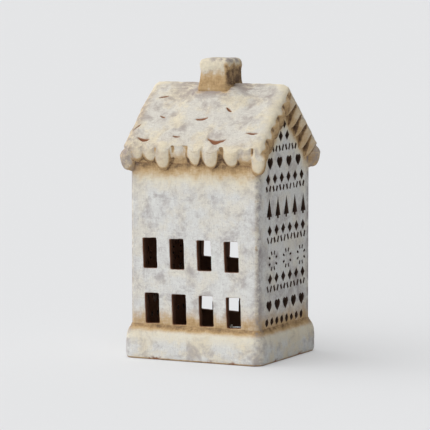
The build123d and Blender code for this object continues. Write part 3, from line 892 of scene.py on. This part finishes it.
on_rake = ramp(past_gable, -0.2 * MM, 0.3 * MM) * ramp(sunk, 0.8 * MM, 3.2 * MM)
on_rake *= ramp(off_ridge, 45.5 * MM, 42.0 * MM)
fascia = ramp(past_wall, 3.4 * MM, 2.2 * MM) * (0.14 + 0.30 * ramp(eave_sunk, 9.0 * MM, 15.0 * MM))
fascia = on_eave * (0.25 + fascia) * ramp(past_gable, 4.0 * MM, 0.0)
along = -points[:, 0] * np.sign(points[:, 1])
eave_flank_stain_and_shade = on_eave * beside_drips(eave_flanks, along, eave_sunk)
down_rake = off_ridge + (sunk - RAKE_MIDDLE) * math.sin(RAKE_SLANT) / slanted
rake_flank_stain_and_shade = RAKE_FLANK * on_rake * beside_drips(rake_flanks, down_rake, sunk)
groove = 0.80 * ramp(near_hollow, 0.05 * MM, 0.40 * MM) + 0.45 * ramp(far_hollow, 0.2 * MM, 1.4 * MM)
# Painted shade: the front half of the right rake and the back half of the left one are darker
painted_rake_shade = 0.26 * (points[:, 0] * points[:, 1] < 0)
olive = on_rake * (0.36 + 0.20 * ramp(sunk, 9.0 * MM, 20.0 * MM) + painted_rake_shade)
worn_end = ramp(-along, 39.0 * MM, 49.0 * MM) * ramp(off_ridge, 0.0, 14.0 * MM)
worn_end *= 1 - on_rake * ramp(off_ridge, 40.0 * MM, 36.0 * MM)
hollows = (groove, eave_flank_stain_and_shade, rake_flank_stain_and_shade, olive, fascia, 0.32 * worn_end)
keep_mask(roof.data, "hollow", np.max(hollows, axis=0))
keep_mask(roof.data, "crest", ramp(-far_hollow, 0.10 * MM, 1.0 * MM))
keep_mask(roof.data, "grime", worn_end * (0.58 + 0.28 * ramp(eave_sunk, -12.0 * MM, 6.0 * MM)))
indoors = (past_gable < 0) & (past_wall < 0) & (lift < 0.02)
keep_mask(roof.data, "bare", ramp(scooped, 0.25, 0.6) + indoors)
keep_mask(roof.data, "inside", indoors * 0.2 + 0.25 * ramp(scooped, 0.5, 1.0))

roof_back = link_mesh("roof_snow_back", roof.data.copy())
roof.name = "roof_snow_front"
part_at(roof, (0, 0, 0), (0, 1, 0))
part_at(roof_back, (0, 0, 0), (0, -1, 0))

# Snow finish: brown in the hollows, painted shade on the drips' flanks and the shaded rakes, smoked along
# the ridge by the chimney, warm near the edges
SNOW_WASH = (0.652, 0.628, 0.566, 1.0)
SNOW_SMOKE = (0.325, 0.275, 0.25, 1.0)
EDGE_STAIN = 0.17
tree = snow_tree
place = object_place(tree)
spread = vector_step(tree, "ABSOLUTE", place)
off_middle = axis_of(tree, spread, "X")
off_ridge = axis_of(tree, spread, "Y")
away = vector_step(tree, "SUBTRACT", spread, (chimney_half.x, chimney_half.y, 1.0))
away = vector_step(tree, "MAXIMUM", away, (0, 0, 0))
away = put_node(tree, "ShaderNodeVectorMath", {0: away}, operation="LENGTH").outputs["Value"]
foot_stain = fade(tree, away, 5.5 * MM, 0.2 * MM, 0.58)
end_stain = fade(tree, off_middle, 45 * MM, 52 * MM, EDGE_STAIN)
low_stain = fade(tree, axis_of(tree, place, "Z"), 157 * MM, 145 * MM, EDGE_STAIN)
smudge = times(tree, fade(tree, off_ridge, 15 * MM, 4 * MM), fade(tree, away, 34 * MM, 10 * MM))
smudge = most(tree, smudge, fade(tree, away, 9 * MM, 1.5 * MM))
drawn = vector_step(tree, "MULTIPLY", place, (0.35, 1, 1))
smears = times(tree, smudge, fade(tree, grain(tree, drawn, 4 * MM, 6.0, 0.66), 0.42, 0.57, 0.92))
grime = fade(tree, grain(tree, place, 3.5 * MM, 6.0, 0.7), 0.40, 0.58)
smears = most(tree, smears, times(tree, grime, read_mask(tree, "grime")))
washed(
    tree, snow_shader, Coat=SNOW_WASH, Smoke=SNOW_SMOKE,
    Blotches=0.8, Soot=sum_up(tree, "ADD", times(tree, smudge, 0.40), 0.74), Smears=smears,
    Stain=most(tree, foot_stain, end_stain, low_stain, read_mask(tree, "hollow")),
    Rub=sum_up(tree, "SUBTRACT", times(tree, read_mask(tree, "crest"), 0.85), smears),
)
for piece, way in ((roof, "front"), (roof_back, "back")):
    dress(piece, snow_material, SNOW_SHARP)
    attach(piece, "house")
    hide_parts(f"roof_{way}", f"{way}_eave_snow", f"right_rake_snow_{way}", f"left_rake_snow_{way}")

# Chimney and its cap: a square tube astride the ridge, closed by a pad of snow that sags over its rim.
# The body keeps its ochre stain, darkest on the right, and the cap is rubbed with cream.
CHIMNEY_VOXEL = 0.4 * MM
CAP_EDGE = chimney_half.z
FOOT_SINK = 2.5 * MM  # how deep the soft foot is pressed into the mound
CHIMNEY_SWELL = 1.13  # makes up for what the sponge draws in
CAP_SWELL = 1.03
CAP_SKIRT = 3.5 * MM  # how far the cap hangs over its edge
FOOT_FLARE = 0.07
CHIMNEY_SPONGE = 110
CHIMNEY_WAVES = ((0.45, 9, 11), (0.20, 3.5, 12))

chimney_mesh = clay_copy("chimney", "chimney_snow")
points = read_points(chimney_mesh)
points[:, 2] -= FOOT_SINK * (points[:, 2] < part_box("roof_front")[1].z - 1.0 * MM)
points[:, :2] *= np.where(points[:, 2:] < CAP_EDGE - CAP_SKIRT, CHIMNEY_SWELL, CAP_SWELL)
write_points(chimney_mesh, points)
chimney = fuse("chimney_clay", chimney_mesh, CHIMNEY_VOXEL)
points = soften(chimney.data, read_points(chimney.data), CHIMNEY_SPONGE)
write_points(chimney.data, points)
normals = read_normals(chimney.data)
points += normals * (MM * uneven(points, CHIMNEY_WAVES))[:, None]
points[:, 2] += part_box("chimney_snow")[1].z - points[:, 2].max()
flare = FOOT_FLARE * ramp(points[:, 2], CAP_EDGE - 5 * MM, CAP_EDGE - 14 * MM) ** 2
points[:, :2] *= 1 + flare[:, None]
write_points(chimney.data, points)
chimney_material, tree, shader = new_material("chimney_wash", 0.85, 0.25)
place = object_place(tree)
right = axis_of(tree, place, "X")
over_edge = reckon(tree, "SUBTRACT", axis_of(tree, place, "Z"), CAP_EDGE)
shaken = reckon(tree, "MULTIPLY_ADD", grain(tree, place, 5 * MM, 7.0, 0.72), RAGGED, over_edge)
body = fade(tree, shaken, 9.5 * MM, -1.0 * MM, 0.66)
smoked = times(
    tree, fade(tree, right, 6.5 * MM, 10.0 * MM, 0.95),
    fade(tree, shaken, 13 * MM, 5 * MM), fade(tree, shaken, -12 * MM, -1 * MM),
)
patches = fade(tree, grain(tree, place, 5 * MM, 6.0, 0.68), 0.42, 0.55)
crown = fade(tree, over_edge, 2.5 * MM, 5.5 * MM, 0.9)
crown = times(tree, crown, fade(tree, right, -9.0 * MM, 6.0 * MM), patches)
washed(
    tree, shader, Coat=SNOW_WASH, Smoke=SNOW_SMOKE,
    Blotches=0.7, Soot=1.0, Stain=most(tree, body, smoked), Smears=crown,
    Rub=sum_up(tree, "SUBTRACT", fade(tree, shaken, 2.0 * MM, 9 * MM, 0.8), crown),
)
chimney_cap = link_mesh("chimney_cap", chimney.data.copy())
part_at(chimney, (0, 0, CAP_EDGE), (0, 0, 1))
part_at(chimney_cap, (0, 0, CAP_EDGE), (0, 0, -1))
for piece, node, slot in (
    (chimney, "chimney", "stained_clay"),
    (chimney_cap, "chimney_snow", "snow_clay"),
):
    dress(piece, chimney_material, SNOW_SHARP)
    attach(piece, "house")
    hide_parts(node)

# Tealight cup: a drawn aluminium shell with fluted sides and a rolled rim, standing on the table.
# The house is set down over it.
CUP_LOW, CUP_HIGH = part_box("tealight_cup")
CUP_FLUTES = 72
FLUTE_DEPTH = 0.14 * MM
CUP_SIDE = 18  # mm out, where the flutes begin
# Out from the axis and height, in mm
CUP_SECTION = [
    (0.0, 0.32), (17.0, 0.32), (18.0, 0.9), (18.35, 2.2), (18.7, 16.9), (19.1, 17.3), (19.5, 17.2),
    (19.55, 17.4), (19.3, 17.58), (18.95, 17.5), (18.85, 17.1), (18.62, 2.0), (18.3, 0.7), (17.2, 0.03),
    (0.0, 0.0),
]
BRIGHT_FOIL = (0.86, 0.87, 0.88, 1.0)
DULL_FOIL = (0.66, 0.67, 0.69, 1.0)


def spun(name, section, steps, ripple=None):
    """A closed shape of revolution about the tealight's axis, with an optional ripple round it."""
    centre = (CUP_LOW + CUP_HIGH) / 2
    spots = []
    for step in range(steps):
        angle = 2 * math.pi * step / steps
        for radius, height in section:
            reach = radius * MM
            if ripple:
                reach += ripple(angle, radius, height)
            x = centre.x + reach * math.cos(angle)
            y = centre.y + reach * math.sin(angle)
            spots.append((x, y, height * MM))
    mesh = bpy.data.meshes.new(name)
    mesh.from_pydata(spots, [], band_faces(steps, len(section), closed=section[0][0] > 0))
    shape = bmesh.new()
    shape.from_mesh(mesh)
    bmesh.ops.remove_doubles(shape, verts=shape.verts, dist=0.001 * MM)
    bmesh.ops.recalc_face_normals(shape, faces=shape.faces)
    shape.to_mesh(mesh)
    shape.free()
    return link_mesh(name, mesh)


def flutes(angle, radius, height):
    """The drawn flutes of the cup's side."""
    wall = ramp(height, 1.0, 2.6) * ramp(height, 16.8, 15.8)
    return FLUTE_DEPTH * wall * math.cos(CUP_FLUTES * angle) if radius > CUP_SIDE else 0.0


cup = spun("cup_foil", CUP_SECTION, CUP_FLUTES * 5, flutes)
foil_material, tree, shader = new_material("cup_foil", 0.3, 0.5)
shader.inputs["Metallic"].default_value = 1.0
scuff = fade(tree, grain(tree, object_place(tree), 2.0 * MM, 6.0, 0.7), 0.35, 0.75)
two_tone(tree, shader, scuff, BRIGHT_FOIL, DULL_FOIL)
dull = put_node(tree, "ShaderNodeMapRange", {"Value": scuff, "To Min": 0.22, "To Max": 0.42}).outputs[0]
tree.links.new(dull, shader.inputs["Roughness"])
bumped(tree, shader, scuff, 0.25, 0.1 * MM)
dress(cup, foil_material, SHARP_EDGE)
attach(cup, "tealight")
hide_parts("tealight_cup")

# Wax: paraffin cast in the cup round the wick, with a raised edge where it wetted the foil.
# It is white and a little cloudy, and lets some light in.
WAX_SECTION = [
    (0.86, 3.6), (1.3, 3.6), (1.3, 0.65), (6.3, 0.65), (6.3, 0.36), (17.0, 0.36), (17.9, 0.95), (18.2, 2.2),
    (18.45, 14.6), (18.2, 14.3), (17.5, 14.08), (15.0, 14.0), (9.0, 13.93), (4.0, 13.9), (1.8, 14.05),
    (0.86, 14.5),
]
WAX_STEPS = 144
CLEAR_WAX = (0.86, 0.84, 0.79, 1.0)
CLOUDY_WAX = (0.80, 0.775, 0.72, 1.0)
wax = spun("wax", WAX_SECTION, WAX_STEPS)
wax_material, tree, shader = new_material("paraffin", 0.42, 0.45)
cloudy = fade(tree, grain(tree, object_place(tree), 4.0 * MM, 5.0, 0.6), 0.35, 0.7)
two_tone(tree, shader, cloudy, CLEAR_WAX, CLOUDY_WAX)
shader.inputs["Subsurface Weight"].default_value = 0.3
shader.inputs["Subsurface Radius"].default_value = (0.004, 0.003, 0.002)
bumped(tree, shader, cloudy, 0.15, 0.15 * MM)
dress(wax, wax_material, SHARP_EDGE)
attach(wax, "tealight")
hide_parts("tealight_wax")

# Wick: three cotton yarns twisted together and dipped in wax, standing in the sustainer's neck.
# Its tip is still white, because the candle has not been lit.
WICK_LOW, WICK_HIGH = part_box("wick")
YARNS = 3
YARN_RADIUS = 0.40 * MM
YARN_OFFSET = 0.38 * MM
YARN_LAY = 4.2 * MM
YARN_SIDES = 10
YARN_RINGS = 60
PALE_COTTON = (0.84, 0.81, 0.73, 1.0)
DARK_COTTON = (0.62, 0.58, 0.50, 1.0)
shape = bmesh.new()
wick_axis = (WICK_LOW + WICK_HIGH) / 2
rise = np.linspace(WICK_LOW.z, WICK_HIGH.z, YARN_RINGS)
for yarn in range(YARNS):
    rings = []
    for height in rise:
        twist = 2 * math.pi * (height / YARN_LAY + yarn / YARNS)
        ring = []
        for side in range(YARN_SIDES):
            angle = 2 * math.pi * side / YARN_SIDES
            x = wick_axis.x + YARN_OFFSET * math.cos(twist) + YARN_RADIUS * math.cos(angle)
            y = wick_axis.y + YARN_OFFSET * math.sin(twist) + YARN_RADIUS * math.sin(angle)
            ring.append((x, y, height))
        rings.append(ring)
    shape.from_mesh(bar(*rings))
wick_mesh = bpy.data.meshes.new("wick_yarns")
shape.to_mesh(wick_mesh)
shape.free()
wick = link_mesh("wick_yarns", wick_mesh)
cotton_material, tree, shader = new_material("wick_cotton", 0.8, 0.2)
fibre = grain(tree, object_place(tree), 0.3 * MM, 3.0, 0.6)
two_tone(tree, shader, fibre, PALE_COTTON, DARK_COTTON)
bumped(tree, shader, fibre, 0.5, 0.08 * MM)
dress(wick, cotton_material, SHARP_EDGE)
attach(wick, "tealight")
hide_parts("wick")

# Sustainer: a stamped tin-plate disc whose neck grips the wick, buried in the wax.
# Its own solid is right as it is and takes a brushed finish.
PALE_TIN = (0.70, 0.69, 0.67, 1.0)
DARK_TIN = (0.50, 0.49, 0.48, 1.0)
tin_material, tree, shader = new_material("sustainer_tin", 0.35, 0.5)
shader.inputs["Metallic"].default_value = 1.0
two_tone(tree, shader, grain(tree, object_place(tree), 0.8 * MM, 4.0, 0.6), PALE_TIN, DARK_TIN)
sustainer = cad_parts["wick_sustainer"]
sustainer.data.materials.clear()
sustainer.data.materials.append(tin_material)
